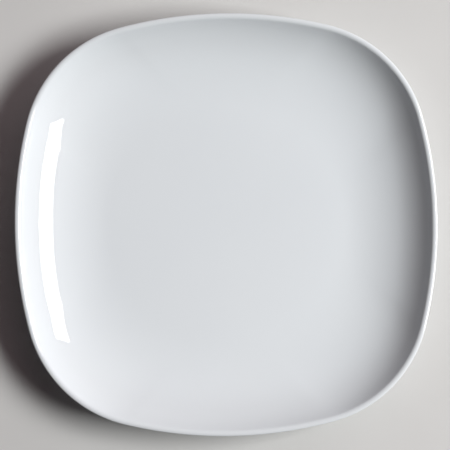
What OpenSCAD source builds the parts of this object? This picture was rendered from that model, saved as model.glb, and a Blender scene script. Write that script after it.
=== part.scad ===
// Square dinner plate of glazed porcelain, lying with its face up.
// The origin is the middle of the plate on the surface that it stands on, +Z is up, and the
// flat sides face X and Y. Lengths are in millimetres and angles in degrees.

/* [Rim] */
// Width across the bowed sides
plate_w = 260; // [240:1:320]
// Height from the standing face to the top of the lip
plate_h = 28; // [24:0.5:34]
// Radius that each side of the rim bows with
side_r = 260; // [180:5:600]
// Radius of the rim's corners
corner_r = 80; // [60:1:100]
// Thickness of the wall at the lip, with its glaze
lip_t = 3; // [2.6:0.1:4]
// Radius of the lip's crown, which rolls over into the face
crown_r = 2.7; // [2.3:0.1:3.2]
// Radius of the lip's tighter outer corner
lip_edge_r = 0.8; // [0.6:0.1:1.1]

/* [Wall] */
// Slope of the wall where it runs into the lip
lip_slope = 54; // [40:1:58]
// Share of the wall's width that its curve leaves the floor with
cove_share = 0.35; // [0.3:0.01:0.5]
// Share of the wall's width that its curve reaches the lip with
brim_share = 0.2; // [0.15:0.01:0.3]

/* [Floor] */
// Diameter of the flat round floor that the food lies on
floor_d = 148; // [142:1:170]
// Thickness of the floor with both of its glazes
floor_t = 4.8; // [3.5:0.1:6]

/* [Foot ring] */
// Outer diameter of the foot ring
foot_d = 138; // [100:1:144]
// Height of the underside over the surface that the plate stands on
foot_h = 2.4; // [1.8:0.1:4]
// Thickness of the foot ring
foot_t = 4; // [3:0.1:6]
// Rounding of the foot ring's two lower edges
foot_edge_r = 0.8; // [0.3:0.1:1.2]
// Radius of the coves where the foot ring grows out of the underside
foot_cove_r = 1.2; // [0.6:0.1:1.5]

/* [Glaze] */
// Thickness of the fired glaze
glaze_t = 0.3; // [0.2:0.05:0.5]
// Strip on each side of the foot ring that is wiped free of glaze
bare_w = 1.8; // [1.6:0.1:2.4]

/* [Hidden] */
$fn = 96;

// Steps along one side arc and one corner arc of the rim
side_steps = 8;
corner_steps = 10;
// Steps up the wall on each face, and round each bend of the lip
wall_steps = 10;
bend_steps = 2;

// Distance between the centres of the lip's crown and its outer corner, and the tilt of the
// line through both, at which one arc passes into the other
crown_gap = crown_r - lip_edge_r;
crown_tilt = acos((crown_r + lip_edge_r - lip_t) / crown_gap) - lip_slope;
floor_r = floor_d / 2;
floor_z = foot_h + floor_t;
foot_r = foot_d / 2;
// The body ends one glaze short of the glazed underside
body_z = foot_h + glaze_t;

// The rim is an outline of eight tangent arcs: each side's arc has its centre on an axis, and
// each corner's arc has its centre at the same distance from both.
bow = side_r - plate_w / 2;
gap = side_r - corner_r;
corner_c = (sqrt(2 * gap * gap - bow * bow) - bow) / 2;
// Half of the angle that a side's arc covers
side_turn = atan2(corner_c, corner_c + bow);

function normal(angle) = [cos(angle), sin(angle)];

function turned(p, angle) =
    [p[0] * cos(angle) - p[1] * sin(angle), p[0] * sin(angle) + p[1] * cos(angle)];

// Point of the rim where its outward normal makes this angle with +X
function rim_point(angle) =
    let (
        quarter = 90 * round(angle / 90),
        local = angle - quarter,
        side = abs(local) <= side_turn,
        p = side
            ? [-bow, 0] + side_r * normal(local)
            : corner_c * [1, sign(local)] + corner_r * normal(local)
    )
    turned(p, quarter);

// Normal angles all the way round, with one at each change from side to corner
angles = [
    for (quarter = [0 : 90 : 270])
        each concat(
            [for (i = [0 : side_steps - 1]) quarter + side_turn * (2 * i / side_steps - 1)],
            [for (i = [0 : corner_steps - 1])
                quarter + side_turn + (90 - 2 * side_turn) * i / corner_steps]
        )
];

// Width of the wall in plan, square to the rim
function wall_w(angle) = rim_point(angle) * normal(angle) - floor_r;

// A point at a distance out from the floor's edge and a height. Outside that edge the round
// floor passes steadily into the square rim, and inside it everything stays round.
function plate_point(angle, out, z) =
    let (
        edge = floor_r * normal(angle),
        p = out > 0
            ? edge + (rim_point(angle) - edge) * out / wall_w(angle)
            : edge + out * normal(angle)
    )
    [p[0], p[1], z];

// Curve from p, where it is level, to q, which it meets at the lip's slope. The rows are
// [out, z, slope].
function wall_curve(p, q) =
    let (
        w = q[0] - p[0],
        a = p + [cove_share * w, 0],
        b = q - brim_share * w * [1, tan(lip_slope)]
    )
    [
        for (i = [0 : wall_steps])
            let (
                t = i / wall_steps,
                u = 1 - t,
                at = u * u * u * p + 3 * u * u * t * a + 3 * u * t * t * b + t * t * t * q,
                way = u * u * (a - p) + 2 * u * t * (b - a) + t * t * (q - b)
            )
            [at[0], at[1], atan2(way[1], way[0])]
    ];

// Section of the wall as [out, z] points: from the floor's edge up the face, over the lip and
// down the back, for a wall of width w and a skin that lies this deep in the glaze.
function section(w, deep) =
    let (
        crown = [w - lip_edge_r - crown_gap * sin(crown_tilt), plate_h - crown_r],
        edge = crown + crown_gap * normal(90 - crown_tilt),
        up = normal(90 + lip_slope),
        face = wall_curve([0, floor_z], crown + crown_r * up),
        back = wall_curve([0, foot_h], edge - lip_edge_r * up),
        bends = [
            [crown, crown_r, 90 + lip_slope, 90],
            [crown, crown_r, 90, 90 - crown_tilt],
            [edge, lip_edge_r, 90 - crown_tilt, 0],
            [edge, lip_edge_r, 0, lip_slope - 90]
        ]
    )
    concat(
        [for (row = face) [row[0], row[1]] - deep * normal(row[2] + 90)],
        [
            for (bend = [0 : len(bends) - 1], i = [0 : bend_steps - 1])
                if (bend + i > 0)
                    let (
                        arc = bends[bend],
                        turn = arc[2] + (arc[3] - arc[2]) * i / bend_steps
                    )
                    arc[0] + (arc[1] - deep) * normal(turn)
        ],
        [
            for (i = [wall_steps : -1 : 0])
                let (row = back[i])
                [row[0], row[1]] + deep * normal(row[2] + 90)
        ]
    );

// Solid through columns of points that stand round the plate. The columns have as many rows,
// and the ring of first rows and the ring of last rows are each closed with a flat face.
module lofted(columns) {
    count = len(columns);
    rows = len(columns[0]);
    polyhedron(
        points = [for (column = columns) each column],
        faces = concat(
            [[for (i = [count - 1 : -1 : 0]) i * rows]],
            [
                for (i = [0 : count - 1], k = [0 : rows - 2])
                    let (
                        here = i * rows + k,
                        next = ((i + 1) % count) * rows + k
                    )
                    each [[here, next + 1, here + 1], [here, next, next + 1]]
            ],
            [[for (i = [0 : count - 1]) i * rows + rows - 1]]
        )
    );
}

// Half section of the foot ring, from its bare standing face up into the body
module foot_profile() {
    root_z = body_z + floor_t / 2;
    inner_r = foot_r - foot_t;
    difference() {
        union() {
            translate([inner_r, foot_edge_r])
                square([foot_t, root_z - foot_edge_r]);
            translate([inner_r + foot_edge_r, 0])
                square([foot_t - 2 * foot_edge_r, root_z]);
            for (x = [inner_r + foot_edge_r, foot_r - foot_edge_r])
                translate([x, foot_edge_r])
                    circle(foot_edge_r);
            translate([inner_r - foot_cove_r, body_z - foot_cove_r])
                square([foot_t + 2 * foot_cove_r, root_z - body_z + foot_cove_r]);
        }
        for (x = [inner_r - foot_cove_r, foot_r + foot_cove_r])
            translate([x, body_z - foot_cove_r])
                circle(foot_cove_r);
    }
}

// The pressed and fired body: floor, wall and foot ring in one piece
module porcelain_body() {
    color([0.93, 0.91, 0.87])
        union() {
            lofted([
                for (angle = angles)
                    [for (p = section(wall_w(angle), glaze_t)) plate_point(angle, p[0], p[1])]
            ]);
            rotate_extrude()
                foot_profile();
        }
}

// The glaze over the face, the lip and the back, down to the bare strip by the foot ring
module glaze_coat() {
    edge_out = foot_r + bare_w - floor_r;
    color([0.94, 0.96, 0.98])
        lofted([
            for (angle = angles)
                let (
                    outer = section(wall_w(angle), 0),
                    inner = section(wall_w(angle), glaze_t),
                    edge = [[edge_out, foot_h], [edge_out, body_z]],
                    way = concat(outer, edge, [for (i = [len(inner) - 1 : -1 : 0]) inner[i]])
                )
                [for (p = way) plate_point(angle, p[0], p[1])]
        ]);
}

// The glaze inside the foot ring, cut off from the rest by the bare ring
module foot_recess_glaze() {
    color([0.92, 0.94, 0.96])
        translate([0, 0, foot_h])
            cylinder(h = glaze_t, r = foot_r - foot_t - bare_w);
}

porcelain_body();
glaze_coat();
foot_recess_glaze();
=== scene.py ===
import math

import bpy
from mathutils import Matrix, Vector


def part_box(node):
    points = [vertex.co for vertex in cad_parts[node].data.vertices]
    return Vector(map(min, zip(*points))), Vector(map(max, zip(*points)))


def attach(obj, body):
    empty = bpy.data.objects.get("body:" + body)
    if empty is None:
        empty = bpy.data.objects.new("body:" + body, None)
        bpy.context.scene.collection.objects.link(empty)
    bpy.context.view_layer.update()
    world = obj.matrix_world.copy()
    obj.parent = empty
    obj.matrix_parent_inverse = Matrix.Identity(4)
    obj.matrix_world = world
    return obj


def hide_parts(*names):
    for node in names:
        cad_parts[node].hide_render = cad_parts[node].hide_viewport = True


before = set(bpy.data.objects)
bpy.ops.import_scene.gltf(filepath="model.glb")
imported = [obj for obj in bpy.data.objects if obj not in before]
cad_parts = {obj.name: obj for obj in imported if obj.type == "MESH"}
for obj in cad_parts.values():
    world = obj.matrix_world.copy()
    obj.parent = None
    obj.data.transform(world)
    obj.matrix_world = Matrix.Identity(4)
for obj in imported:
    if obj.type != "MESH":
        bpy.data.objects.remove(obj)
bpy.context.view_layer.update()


# Glaze coat
# The white glaze over the face, the lip and the back. The plate is dipped in it and it melts in
# the kiln into one glassy skin. On the steep wall it is greyer, partly as thinner glaze and partly
# as painted shade, and the glaze ends in a soft roll by the wiped foot ring.
glaze_low, glaze_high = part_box("glaze_coat")
HALF_W = glaze_high[0]
PLATE_TOP = glaze_high[2]
UNDERSIDE = glaze_low[2]
SIDE_R = 0.260
CORNER_R = 0.080
LIP_T = 0.003
CROWN_R = 0.0027
LIP_EDGE_R = 0.0008
LIP_SLOPE = math.radians(54)
COVE_SHARE = 0.35
BRIM_SHARE = 0.20
FLOOR_R = 0.074
FLOOR_T = 0.0048
FLOOR_TOP = UNDERSIDE + FLOOR_T
FLOOR_SAG = 0.00015
GLAZE_T = 0.0003
FOOT_R = 0.069
BARE_W = 0.0018
ROLL_W = 0.0022
ROLL_T = 0.00018
ROLL_POWER = 6

SIDE_STEPS = 40
CORNER_STEPS = 40
FLOOR_STEPS = 26
WALL_STEPS = 52
BEND_STEPS = 7
BACK_STEPS = 12
ROLL_STEPS = 8
HIDDEN_WALL_STEPS = 13
HIDDEN_BEND_STEPS = 2

BOW = SIDE_R - HALF_W
GAP = SIDE_R - CORNER_R
CORNER_C = (math.sqrt(2 * GAP * GAP - BOW * BOW) - BOW) / 2
SIDE_TURN = math.atan2(CORNER_C, CORNER_C + BOW)
CROWN_GAP = CROWN_R - LIP_EDGE_R
CROWN_TILT = math.acos((CROWN_R + LIP_EDGE_R - LIP_T) / CROWN_GAP) - LIP_SLOPE


def rim_point(angle):
    """Point of the eight-arc rim where its outward normal makes this angle with +X."""
    quarter = round(angle / (math.pi / 2)) * math.pi / 2
    local = angle - quarter
    if abs(local) <= SIDE_TURN:
        x = -BOW + SIDE_R * math.cos(local)
        y = SIDE_R * math.sin(local)
    else:
        x = CORNER_C + CORNER_R * math.cos(local)
        y = math.copysign(CORNER_C, local) + CORNER_R * math.sin(local)
    return (
        x * math.cos(quarter) - y * math.sin(quarter),
        x * math.sin(quarter) + y * math.cos(quarter),
    )


def rim_angles():
    """Normal angles all the way round, with one at each change from side to corner."""
    found = []
    corner_turn = math.pi / 2 - 2 * SIDE_TURN
    for side in range(4):
        start = side * math.pi / 2 - SIDE_TURN
        for i in range(SIDE_STEPS):
            found.append(start + 2 * SIDE_TURN * i / SIDE_STEPS)
        for i in range(CORNER_STEPS):
            found.append(start + 2 * SIDE_TURN + corner_turn * i / CORNER_STEPS)
    return found


def wall_width(angle):
    """Width of the wall in plan, square to the rim."""
    rx, ry = rim_point(angle)
    return rx * math.cos(angle) + ry * math.sin(angle) - FLOOR_R


def wall_curve(start, end, steps):
    """Rows (out, z, slope) of a curve that leaves start level and meets end at the lip's slope."""
    width = end[0] - start[0]
    a = (start[0] + COVE_SHARE * width, start[1])
    b = (end[0] - BRIM_SHARE * width, end[1] - BRIM_SHARE * width * math.tan(LIP_SLOPE))
    rows = []
    for i in range(steps + 1):
        t = i / steps
        u = 1 - t
        out, z = (
            u**3 * start[k] + 3 * u * u * t * a[k] + 3 * u * t * t * b[k] + t**3 * end[k]
            for k in (0, 1)
        )
        run, rise = (
            u * u * (a[k] - start[k]) + 2 * u * t * (b[k] - a[k]) + t * t * (end[k] - b[k])
            for k in (0, 1)
        )
        rows.append((out, z, math.atan2(rise, run)))
    return rows


def wall_section(width, deep, wall_steps, bend_steps):
    """Points (out, z) up the face, over the lip and down the back, this deep in the glaze."""
    across = CROWN_GAP * math.sin(CROWN_TILT)
    crown = (width - LIP_EDGE_R - across, PLATE_TOP - CROWN_R)
    edge = (crown[0] + across, crown[1] + CROWN_GAP * math.cos(CROWN_TILT))
    up = (-math.sin(LIP_SLOPE), math.cos(LIP_SLOPE))
    face_end = (crown[0] + CROWN_R * up[0], crown[1] + CROWN_R * up[1])
    back_end = (edge[0] - LIP_EDGE_R * up[0], edge[1] - LIP_EDGE_R * up[1])
    face = wall_curve((0, FLOOR_TOP), face_end, wall_steps)
    back = wall_curve((0, UNDERSIDE), back_end, wall_steps)
    points = [(o + deep * math.sin(s), z - deep * math.cos(s)) for o, z, s in face]
    level = math.pi / 2
    bends = (
        (crown, CROWN_R - deep, level + LIP_SLOPE, level),
        (crown, CROWN_R - deep, level, level - CROWN_TILT),
        (edge, LIP_EDGE_R - deep, level - CROWN_TILT, 0),
        (edge, LIP_EDGE_R - deep, 0, LIP_SLOPE - level),
    )
    for centre, radius, first, last in bends:
        for i in range(bend_steps):
            turn = first + (last - first) * i / bend_steps
            if turn < level + LIP_SLOPE:
                points.append(
                    (centre[0] + radius * math.cos(turn), centre[1] + radius * math.sin(turn))
                )
    points += [(o - deep * math.sin(s), z + deep * math.cos(s)) for o, z, s in reversed(back)]
    return points


def plate_column(angle, section):
    """A section's points in space. Outside the floor's edge, round passes steadily into square."""
    nx, ny = math.cos(angle), math.sin(angle)
    rx, ry = rim_point(angle)
    width = wall_width(angle)
    column = []
    for out, z in section:
        if out > 0:
            share = out / width
            x = FLOOR_R * nx * (1 - share) + rx * share
            y = FLOOR_R * ny * (1 - share) + ry * share
        else:
            x = (FLOOR_R + out) * nx
            y = (FLOOR_R + out) * ny
        column.append((x, y, z))
    return column


def ring_solid(name, columns):
    """Smooth mesh through columns of points, whose first and last points all lie on the axis."""
    inner = len(columns[0]) - 2
    count = len(columns)
    verts = [columns[0][0]]
    for column in columns:
        verts += column[1:-1]
    verts.append(columns[0][-1])
    last = len(verts) - 1
    faces = []
    for i in range(count):
        here = 1 + i * inner
        there = 1 + (i + 1) % count * inner
        faces.append((0, here, there))
        for k in range(inner - 1):
            faces.append((here + k, here + k + 1, there + k + 1, there + k))
        faces.append((here + inner - 1, last, there + inner - 1))
    mesh = bpy.data.meshes.new(name)
    mesh.from_pydata(verts, [], faces)
    mesh.shade_smooth()
    mesh.update()
    piece = bpy.data.objects.new(name, mesh)
    bpy.context.scene.collection.objects.link(piece)
    return piece


def roll_share(near):
    """How far the glaze swells on its way to where it stops: near goes from 0 to 1 there."""
    return math.sin(math.pi / 2 * near) ** 2 * (1 - near**ROLL_POWER)


def coat_column(angle):
    """The coat's section from the middle of the floor, over the lip, to the roll and back inside."""
    outer = wall_section(wall_width(angle), 0, WALL_STEPS, BEND_STEPS)
    floor = []
    for i in range(FLOOR_STEPS):
        r = FLOOR_R * i / FLOOR_STEPS
        dip = FLOOR_SAG * (1 - (r / FLOOR_R) ** 2) ** 2
        floor.append((r - FLOOR_R, FLOOR_TOP - dip))
    stop = FOOT_R + BARE_W - FLOOR_R
    flat = []
    for i in range(1, BACK_STEPS + 1):
        out = stop * i / BACK_STEPS
        near = max(0.0, 1 - (out - stop) / ROLL_W)
        flat.append((out, UNDERSIDE - ROLL_T * roll_share(near)))
    edge = []
    for i in range(1, ROLL_STEPS + 1):
        turn = math.pi / 2 * i / ROLL_STEPS
        edge.append((stop - GLAZE_T * math.sin(turn), UNDERSIDE + GLAZE_T * (1 - math.cos(turn))))
    inner = wall_section(wall_width(angle), GLAZE_T, HIDDEN_WALL_STEPS, HIDDEN_BEND_STEPS)
    under = [(-FLOOR_R, FLOOR_TOP - GLAZE_T)]
    return plate_column(angle, floor + outer + flat + edge + inner[::-1] + under)


# The glaze's finish. Each mottle is its scale, in cells to the metre, and its detail. Tints stand
# beside the cover that they are for, sizes of pinholes are in cells, and depths are in metres.
GLAZE_IOR = 1.52
COVER_LOW = 0.3
COVER_HIGH = 0.7
POOLING = (9, 3)
THICK_TINTS = ((COVER_LOW, (0.766, 0.817, 0.841, 1)), (COVER_HIGH, (0.783, 0.833, 0.853, 1)))
# The thin tint is partly thinner glaze and partly painted shade: it greys the wall from a little
# above the floor up to half of its rise.
THIN_GLAZE_SHADE_TINT = (0.7, 0.735, 0.753, 1)
THIN_GLAZE_SHADE_SHARE = 0.35
THIN_GLAZE_SHADE_FROM = 0.12
THIN_GLAZE_SHADE_TO = 0.5
PLACE_SHIFT = (1, 0.7, 0.3)
PINHOLE_SCALE = 42
PINHOLE_R = 0.007
PINHOLE_RIM_R = 0.014
PINHOLE_RARITY = 0.9
PINHOLE_TINT = (0.52, 0.5, 0.47, 1)
PINHOLE_DEPTH = 0.00006
GLOSS_PATCHES = (38, 4)
GLOSS_ROUGHNESS = (0.03, 0.06)
WAVES = (65, 1)
WAVE_DEPTH = 0.00002


def mottle(nodes, links, place, kind):
    """Soft random cover of a place, most of it between COVER_LOW and COVER_HIGH."""
    made = nodes.new("ShaderNodeTexNoise")
    made.inputs["Scale"].default_value, made.inputs["Detail"].default_value = kind
    links.new(place, made.inputs["Vector"])
    return made.outputs["Fac"]


def spread(nodes, links, value, start, end, low=0.0, high=1.0, soft=False):
    """A value from start to end, spread from low to high and held there beyond."""
    made = nodes.new("ShaderNodeMapRange")
    if soft:
        made.interpolation_type = "SMOOTHSTEP"
    numbers = {"From Min": start, "From Max": end, "To Min": low, "To Max": high}
    for name, number in numbers.items():
        made.inputs[name].default_value = number
    links.new(value, made.inputs["Value"])
    return made.outputs["Result"]


def tints(nodes, links, value, stops):
    """Colour that goes from the first stop's to the second's as the value does."""
    made = nodes.new("ShaderNodeValToRGB")
    for element, (position, colour) in zip(made.color_ramp.elements, stops):
        element.position = position
        element.color = colour
    links.new(value, made.inputs["Fac"])
    return made.outputs["Color"]


def stained(nodes, links, base, share, colour):
    """A base colour with this share of another in it."""
    made = nodes.new("ShaderNodeMix")
    made.data_type = "RGBA"
    made.inputs["B"].default_value = colour
    links.new(share, made.inputs["Factor"])
    links.new(base, made.inputs["A"])
    return made.outputs["Result"]


def relief(nodes, links, height, depth, over=None, sunk=False):
    """Surface raised by a height, or sunk by it, over a relief that may already be there."""
    made = nodes.new("ShaderNodeBump")
    made.invert = sunk
    made.inputs["Strength"].default_value = 1
    made.inputs["Distance"].default_value = depth
    links.new(height, made.inputs["Height"])
    if over is not None:
        links.new(over, made.inputs["Normal"])
    return made.outputs["Normal"]


def glaze_material(name, seed):
    """White dipped glaze: glassy, a little wavy and softly pooled, with a few dark pinholes, and
    greyer from a little above the floor up to half of the wall's rise: thinner glaze and painted
    shade."""
    made = bpy.data.materials.new(name)
    made.use_nodes = True
    nodes = made.node_tree.nodes
    links = made.node_tree.links
    shader = nodes["Principled BSDF"]
    shader.inputs["IOR"].default_value = GLAZE_IOR
    where = nodes.new("ShaderNodeTexCoord")
    shifted = nodes.new("ShaderNodeVectorMath")
    shifted.operation = "ADD"
    shifted.inputs[1].default_value = [seed * share for share in PLACE_SHIFT]
    links.new(where.outputs["Object"], shifted.inputs[0])
    place = shifted.outputs["Vector"]

    pooled = tints(nodes, links, mottle(nodes, links, place, POOLING), THICK_TINTS)
    # Painted shade, together with thinner glaze: the wall greys towards the thin tint from a little
    # above the floor up to half of its rise.
    height = nodes.new("ShaderNodeSeparateXYZ")
    links.new(where.outputs["Object"], height.inputs["Vector"])
    rise = PLATE_TOP - FLOOR_TOP
    start, end = FLOOR_TOP + THIN_GLAZE_SHADE_FROM * rise, FLOOR_TOP + THIN_GLAZE_SHADE_TO * rise
    thin_glaze_shade = spread(nodes, links, height.outputs["Z"], start, end, high=THIN_GLAZE_SHADE_SHARE, soft=True)
    coat = stained(nodes, links, pooled, thin_glaze_shade, THIN_GLAZE_SHADE_TINT)

    cells = nodes.new("ShaderNodeTexVoronoi")
    cells.inputs["Scale"].default_value = PINHOLE_SCALE
    links.new(place, cells.inputs["Vector"])
    draw = nodes.new("ShaderNodeSeparateColor")
    links.new(cells.outputs["Color"], draw.inputs["Color"])
    few = nodes.new("ShaderNodeMath")
    few.operation = "GREATER_THAN"
    few.inputs[1].default_value = PINHOLE_RARITY
    links.new(draw.outputs["Red"], few.inputs[0])
    spot = spread(nodes, links, cells.outputs["Distance"], PINHOLE_R, PINHOLE_RIM_R, 1, 0)
    pinhole = nodes.new("ShaderNodeMath")
    pinhole.operation = "MULTIPLY"
    links.new(spot, pinhole.inputs[0])
    links.new(few.outputs["Value"], pinhole.inputs[1])
    pinholes = pinhole.outputs["Value"]
    links.new(stained(nodes, links, coat, pinholes, PINHOLE_TINT), shader.inputs["Base Color"])

    patches = mottle(nodes, links, place, GLOSS_PATCHES)
    rough = spread(nodes, links, patches, COVER_LOW, COVER_HIGH, *GLOSS_ROUGHNESS)
    links.new(rough, shader.inputs["Roughness"])

    waves = relief(nodes, links, mottle(nodes, links, place, WAVES), WAVE_DEPTH)
    pits = relief(nodes, links, pinholes, PINHOLE_DEPTH, over=waves, sunk=True)
    links.new(pits, shader.inputs["Normal"])
    return made


glaze_coat = ring_solid("glaze_coat_skin", [coat_column(angle) for angle in rim_angles()])
glaze_coat.data.materials.append(glaze_material("white_glaze", 0.0))
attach(glaze_coat, "root")
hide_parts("glaze_coat")


# Porcelain body
# The clay of the plate, pressed in one piece with its foot ring and fired hard and dense. It shows
# only at the foot ring, which is wiped bare so that it won't stick in the kiln, then ground flat.
BODY_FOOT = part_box("porcelain_body")[0][2]
FOOT_T = 0.004
FOOT_EDGE_R = 0.0008
COVE_R = 0.0012
UNDER_Z = UNDERSIDE + GLAZE_T

BODY_WALL_STEPS = 24
BODY_BEND_STEPS = 4
FOOT_BEND_STEPS = 8
FOOT_FACE_STEPS = 6
RECESS_STEPS = 12
HIDDEN_FLOOR_SHARES = (0, 0.3, 0.7)

GRAIN = (900, 3)
GRAIN_DEPTH = 0.00004
BARE_ROUGHNESS = (0.55, 0.8)
RUBS = (70, 5)
RUB_TINTS = ((0.36, (0.6, 0.58, 0.545, 1)), (0.55, (0.74, 0.715, 0.67, 1)))
GRINDING = (5200, 3)
GRINDING_DEPTH = 0.00003


def arc(centre, radius, start, end, steps):
    """Points of an arc in a section, from one angle to another, both in degrees."""
    points = []
    for i in range(steps + 1):
        turn = math.radians(start + (end - start) * i / steps)
        points.append((centre[0] + radius * math.cos(turn), centre[1] + radius * math.sin(turn)))
    return points


def foot_section():
    """Points (radius, z) from the underside round the foot ring to the middle of its recess."""
    outer, inner = FOOT_R, FOOT_R - FOOT_T
    cove_z = UNDER_Z - COVE_R
    edge_z = BODY_FOOT + FOOT_EDGE_R
    face_r = outer - FOOT_EDGE_R
    face_w = FOOT_T - 2 * FOOT_EDGE_R
    recess_r = inner - COVE_R
    points = arc((outer + COVE_R, cove_z), COVE_R, 90, 180, FOOT_BEND_STEPS)
    points += arc((face_r, edge_z), FOOT_EDGE_R, 0, -90, FOOT_BEND_STEPS)
    for i in range(1, FOOT_FACE_STEPS):
        points.append((face_r - face_w * i / FOOT_FACE_STEPS, BODY_FOOT))
    points += arc((inner + FOOT_EDGE_R, edge_z), FOOT_EDGE_R, 270, 180, FOOT_BEND_STEPS)
    points += arc((recess_r, cove_z), COVE_R, 0, 90, FOOT_BEND_STEPS)
    for i in range(1, RECESS_STEPS + 1):
        points.append((recess_r * (1 - i / RECESS_STEPS), UNDER_Z))
    return points


def body_column(angle):
    """The body's section from the middle of the floor, over the lip, to the middle of the foot."""
    wall = wall_section(wall_width(angle), GLAZE_T, BODY_WALL_STEPS, BODY_BEND_STEPS)
    floor = [(share * FLOOR_R - FLOOR_R, FLOOR_TOP - GLAZE_T) for share in HIDDEN_FLOOR_SHARES]
    foot = [(r - FLOOR_R, z) for r, z in foot_section()]
    return plate_column(angle, floor + wall + foot)


def biscuit_material():
    """Unglazed porcelain: dense and matte, with grinding lines round the ring and grey rubs."""
    made = bpy.data.materials.new("bare_porcelain")
    made.use_nodes = True
    nodes = made.node_tree.nodes
    links = made.node_tree.links
    shader = nodes["Principled BSDF"]
    place = nodes.new("ShaderNodeTexCoord").outputs["Object"]

    rubs = mottle(nodes, links, place, RUBS)
    links.new(tints(nodes, links, rubs, RUB_TINTS), shader.inputs["Base Color"])
    grain = mottle(nodes, links, place, GRAIN)
    links.new(spread(nodes, links, grain, 0, 1, *BARE_ROUGHNESS), shader.inputs["Roughness"])

    level = nodes.new("ShaderNodeVectorMath")
    level.operation = "MULTIPLY"
    level.inputs[1].default_value = (1, 1, 0)
    links.new(place, level.inputs[0])
    radius = nodes.new("ShaderNodeVectorMath")
    radius.operation = "LENGTH"
    links.new(level.outputs["Vector"], radius.inputs[0])
    grinding = nodes.new("ShaderNodeTexNoise")
    grinding.noise_dimensions = "1D"
    grinding.inputs["Scale"].default_value, grinding.inputs["Detail"].default_value = GRINDING
    links.new(radius.outputs["Value"], grinding.inputs["W"])
    ground = relief(nodes, links, grinding.outputs["Fac"], GRINDING_DEPTH)
    links.new(relief(nodes, links, grain, GRAIN_DEPTH, over=ground), shader.inputs["Normal"])
    return made


porcelain_body = ring_solid("porcelain_clay", [body_column(angle) for angle in rim_angles()])
porcelain_body.data.materials.append(biscuit_material())
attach(porcelain_body, "root")
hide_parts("porcelain_body")


# Glaze in the foot's recess
# The same glaze inside the foot ring. The wiped ring cuts it off from the rest of the coat, and
# it stands a little thicker along its edge, where it drew back as it melted.
recess_low, recess_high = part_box("foot_recess_glaze")
RECESS_R = recess_high[0]
RECESS_BOTTOM = recess_low[2]
RECESS_TOP = recess_high[2]
BEAD_W = 0.0026
BEAD_T = 0.00018
POOL_STEPS = 30
HIDDEN_POOL_SHARE = 0.5
RECESS_SEED = 3.1


def recess_column(angle):
    """The recess glaze from the middle of its top, round its rolled edge, to its lower face."""
    thick = RECESS_TOP - RECESS_BOTTOM
    flat_r = RECESS_R - thick
    points = []
    for i in range(POOL_STEPS + 1):
        r = flat_r * math.sin(math.pi / 2 * i / POOL_STEPS)
        near = max(0.0, 1 - (flat_r - r) / BEAD_W)
        points.append((r, RECESS_BOTTOM - BEAD_T * roll_share(near)))
    points += arc((flat_r, RECESS_TOP), thick, -90, 0, ROLL_STEPS)[1:]
    points.append((HIDDEN_POOL_SHARE * flat_r, RECESS_TOP))
    points.append((0, RECESS_TOP))
    return [(r * math.cos(angle), r * math.sin(angle), z) for r, z in reversed(points)]


recess_glaze = ring_solid("recess_glaze_pool", [recess_column(angle) for angle in rim_angles()])
recess_glaze.data.materials.append(glaze_material("recess_white_glaze", RECESS_SEED))
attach(recess_glaze, "root")
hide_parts("foot_recess_glaze")


# Table
# A plain, pale grey table top with a dead matte face, which takes the plate's shadow. Far from
# the plate it fades, only where it is seen or mirrored, into the plain pale background.
TABLE_HALF = 2.5
TABLE_ROUGHNESS = 0.9
TABLE_SPECULAR = 0.1
TABLE_GRAIN = (14, 4)
TABLE_TINTS = ((COVER_LOW, (0.633, 0.638, 0.622, 1)), (COVER_HIGH, (0.653, 0.658, 0.642, 1)))
FADE_START = 0.3
FADE_END = 1.2
BACKGROUND = (0.5, 0.5, 0.5, 1)


def seen_or_mirrored(nodes, links):
    """1 where a surface is seen straight, mirrored or through glass, and 0 where it gives light."""
    path = nodes.new("ShaderNodeLightPath")
    found = path.outputs["Is Camera Ray"]
    for kind in ("Is Glossy Ray", "Is Transmission Ray"):
        either = nodes.new("ShaderNodeMath")
        either.operation = "MAXIMUM"
        links.new(found, either.inputs[0])
        links.new(path.outputs[kind], either.inputs[1])
        found = either.outputs["Value"]
    return found


bpy.ops.mesh.primitive_plane_add(size=2 * TABLE_HALF, location=(0, 0, 0))
table = bpy.context.object
table.name = "table_top"
table_paint = bpy.data.materials.new("table_paint")
table_paint.use_nodes = True
paint_nodes = table_paint.node_tree.nodes
paint_links = table_paint.node_tree.links
paint = paint_nodes["Principled BSDF"]
paint.inputs["Roughness"].default_value = TABLE_ROUGHNESS
paint.inputs["Specular IOR Level"].default_value = TABLE_SPECULAR
table_place = paint_nodes.new("ShaderNodeTexCoord").outputs["Object"]
table_grain = mottle(paint_nodes, paint_links, table_place, TABLE_GRAIN)
table_tint = tints(paint_nodes, paint_links, table_grain, TABLE_TINTS)
paint_links.new(table_tint, paint.inputs["Base Color"])

away = paint_nodes.new("ShaderNodeVectorMath")
away.operation = "LENGTH"
paint_links.new(table_place, away.inputs[0])
fade = spread(paint_nodes, paint_links, away.outputs["Value"], FADE_START, FADE_END, soft=True)
faded = paint_nodes.new("ShaderNodeMath")
faded.operation = "MULTIPLY"
paint_links.new(fade, faded.inputs[0])
paint_links.new(seen_or_mirrored(paint_nodes, paint_links), faded.inputs[1])
plain = paint_nodes.new("ShaderNodeEmission")
plain.inputs["Color"].default_value = BACKGROUND
table_face = paint_nodes.new("ShaderNodeMixShader")
paint_links.new(faded.outputs["Value"], table_face.inputs["Fac"])
paint_links.new(paint.outputs["BSDF"], table_face.inputs[1])
paint_links.new(plain.outputs["Emission"], table_face.inputs[2])
paint_links.new(table_face.outputs["Shader"], paint_nodes["Material Output"].inputs["Surface"])
table.data.materials.append(table_paint)


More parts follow.
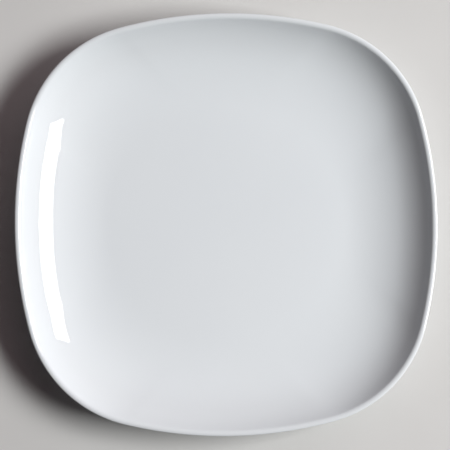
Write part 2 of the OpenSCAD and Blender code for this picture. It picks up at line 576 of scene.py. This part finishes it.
# Light
# One large soft window light on the right, and a dim room around that is palest behind the
# plate on the window's side. What is seen or mirrored beyond the table is plain pale grey.
WINDOW_AZIMUTH = math.radians(2.2)
WINDOW_ELEVATION = math.radians(43.6)
WINDOW_DISTANCE = 2.1
WINDOW_WIDE = 1.1
WINDOW_HIGH = 0.68
WINDOW_WATTS = 51.0
ROOM_TINTS = ((0, (0.016, 0.009, 0.012, 1)), (1, (0.6, 0.465, 0.49, 1)))
PALE_AZIMUTH = math.radians(50)
PALE_ELEVATION = math.radians(25)
PALE_REACH = math.radians(57)


def direction(azimuth, elevation):
    """Unit vector towards this azimuth, counted from +X to +Y, and elevation."""
    return (
        math.cos(elevation) * math.cos(azimuth),
        math.cos(elevation) * math.sin(azimuth),
        math.sin(elevation),
    )


window_light = bpy.data.lights.new("window_light", "AREA")
window_light.shape = "RECTANGLE"
window_light.size = WINDOW_HIGH
window_light.size_y = WINDOW_WIDE
window_light.energy = WINDOW_WATTS
window_light.color = (1, 1, 1)
window = bpy.data.objects.new("window_light", window_light)
toward_window = direction(WINDOW_AZIMUTH, WINDOW_ELEVATION)
window.location = [WINDOW_DISTANCE * share for share in toward_window]
window.rotation_euler = (0, math.pi / 2 - WINDOW_ELEVATION, WINDOW_AZIMUTH)
bpy.context.scene.collection.objects.link(window)

world = bpy.data.worlds.new("room")
world.use_nodes = True
bpy.context.scene.world = world
room_nodes = world.node_tree.nodes
room_links = world.node_tree.links
room_nodes.clear()
toward = room_nodes.new("ShaderNodeTexCoord")
facing = room_nodes.new("ShaderNodeVectorMath")
facing.operation = "DOT_PRODUCT"
facing.inputs[1].default_value = direction(PALE_AZIMUTH, PALE_ELEVATION)
room_links.new(toward.outputs["Generated"], facing.inputs[0])
pale_share = spread(
    room_nodes, room_links, facing.outputs["Value"], math.cos(PALE_REACH), 1, soft=True
)
dim = room_nodes.new("ShaderNodeBackground")
room_links.new(tints(room_nodes, room_links, pale_share, ROOM_TINTS), dim.inputs["Color"])
pale = room_nodes.new("ShaderNodeBackground")
pale.inputs["Color"].default_value = BACKGROUND
room = room_nodes.new("ShaderNodeMixShader")
room_links.new(seen_or_mirrored(room_nodes, room_links), room.inputs["Fac"])
room_links.new(dim.outputs["Background"], room.inputs[1])
room_links.new(pale.outputs["Background"], room.inputs[2])
room_out = room_nodes.new("ShaderNodeOutputWorld")
room_links.new(room.outputs["Shader"], room_out.inputs["Surface"])


# Camera
# It looks straight down on the plate, turned very slightly, as the photograph was taken. The
# plate's width and middle in the picture are in pixels.
CAMERA_HEIGHT = 1.1
CAMERA_TURN = math.radians(-0.82)
SENSOR_WIDE = 36
IMAGE_WIDE = 450
PLATE_WIDE = 423.0
PLATE_PIXEL = (225.6, 224.2)
MIDDLE_PIXEL = (IMAGE_WIDE - 1) / 2
metres_per_pixel = 2 * HALF_W / PLATE_WIDE
lip_z = PLATE_TOP - LIP_EDGE_R
right = (PLATE_PIXEL[0] - MIDDLE_PIXEL) * metres_per_pixel
up = (MIDDLE_PIXEL - PLATE_PIXEL[1]) * metres_per_pixel
camera_data = bpy.data.cameras.new("overhead")
camera_data.sensor_width = SENSOR_WIDE
camera_data.lens = SENSOR_WIDE * (CAMERA_HEIGHT - lip_z) / (IMAGE_WIDE * metres_per_pixel)
camera = bpy.data.objects.new("overhead", camera_data)
camera.rotation_euler = (0, 0, CAMERA_TURN)
camera.location = (
    -right * math.cos(CAMERA_TURN) + up * math.sin(CAMERA_TURN),
    -right * math.sin(CAMERA_TURN) - up * math.cos(CAMERA_TURN),
    CAMERA_HEIGHT,
)
bpy.context.scene.collection.objects.link(camera)
bpy.context.scene.camera = camera
bpy.context.scene.view_settings.view_transform = "Standard"
